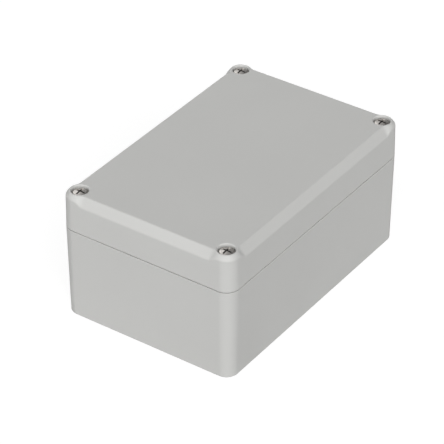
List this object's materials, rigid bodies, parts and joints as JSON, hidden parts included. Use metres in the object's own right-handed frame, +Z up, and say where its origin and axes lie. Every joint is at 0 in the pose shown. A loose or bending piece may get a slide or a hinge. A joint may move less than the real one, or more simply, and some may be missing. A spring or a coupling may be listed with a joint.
{
  "type": "polycarbonate enclosure",
  "caption": "Rectangular polycarbonate box with a bevelled, sealed lid held by captive corner screws, for housing electronics.",
  "frame": {"origin": "middle of the underside", "axes": "+X along the length, +Y across the width, +Z up towards the lid"},
  "size_m": [0.12, 0.08, 0.0565],
  "materials": {
    "shell": "matte",
    "seal": "matte",
    "screw": "satin",
    "insert": "satin",
    "washer": "satin"
  },
  "bodies": {
    "base": {"base": "shell", "screw_insert_1": "insert", "screw_insert_2": "insert", "screw_insert_3": "insert", "screw_insert_4": "insert"},
    "lid": {"lid": "shell", "gasket": "seal"},
    "washer_1": {"retaining_washer_1": "washer"},
    "screw_1": {"lid_screw_1": "screw"},
    "washer_2": {"retaining_washer_2": "washer"},
    "screw_2": {"lid_screw_2": "screw"},
    "washer_3": {"retaining_washer_3": "washer"},
    "screw_3": {"lid_screw_3": "screw"},
    "washer_4": {"retaining_washer_4": "washer"},
    "screw_4": {"lid_screw_4": "screw"}
  },
  "joints": [
    {"name": "lid_lift", "type": "slide", "parent": "base", "child": "lid", "axis": [0, 0, 1], "range_m": [0, 0.08]},
    {"name": "screw_1_rise", "type": "slide", "parent": "lid", "child": "washer_1", "axis": [0, 0, 1], "range_m": [0, 0.0077]},
    {"name": "screw_1_turn", "type": "hinge", "parent": "washer_1", "child": "screw_1", "pos_m": [0.0542, 0.0342, 0.0525], "axis": [0, 0, 1], "range_deg": [0, 3960]},
    {"name": "screw_2_rise", "type": "slide", "parent": "lid", "child": "washer_2", "axis": [0, 0, 1], "range_m": [0, 0.0077]},
    {"name": "screw_2_turn", "type": "hinge", "parent": "washer_2", "child": "screw_2", "pos_m": [-0.0542, 0.0342, 0.0525], "axis": [0, 0, 1], "range_deg": [0, 3960]},
    {"name": "screw_3_rise", "type": "slide", "parent": "lid", "child": "washer_3", "axis": [0, 0, 1], "range_m": [0, 0.0077]},
    {"name": "screw_3_turn", "type": "hinge", "parent": "washer_3", "child": "screw_3", "pos_m": [-0.0542, -0.0342, 0.0525], "axis": [0, 0, 1], "range_deg": [0, 3960]},
    {"name": "screw_4_rise", "type": "slide", "parent": "lid", "child": "washer_4", "axis": [0, 0, 1], "range_m": [0, 0.0077]},
    {"name": "screw_4_turn", "type": "hinge", "parent": "washer_4", "child": "screw_4", "pos_m": [0.0542, -0.0342, 0.0525], "axis": [0, 0, 1], "range_deg": [0, 3960]}
  ],
  "couplings": [
    {"joint": "screw_1_turn", "follows": "screw_1_rise", "rad_per_m": 8976},
    {"joint": "screw_2_turn", "follows": "screw_2_rise", "rad_per_m": 8976},
    {"joint": "screw_3_turn", "follows": "screw_3_rise", "rad_per_m": 8976},
    {"joint": "screw_4_turn", "follows": "screw_4_rise", "rad_per_m": 8976}
  ]
}
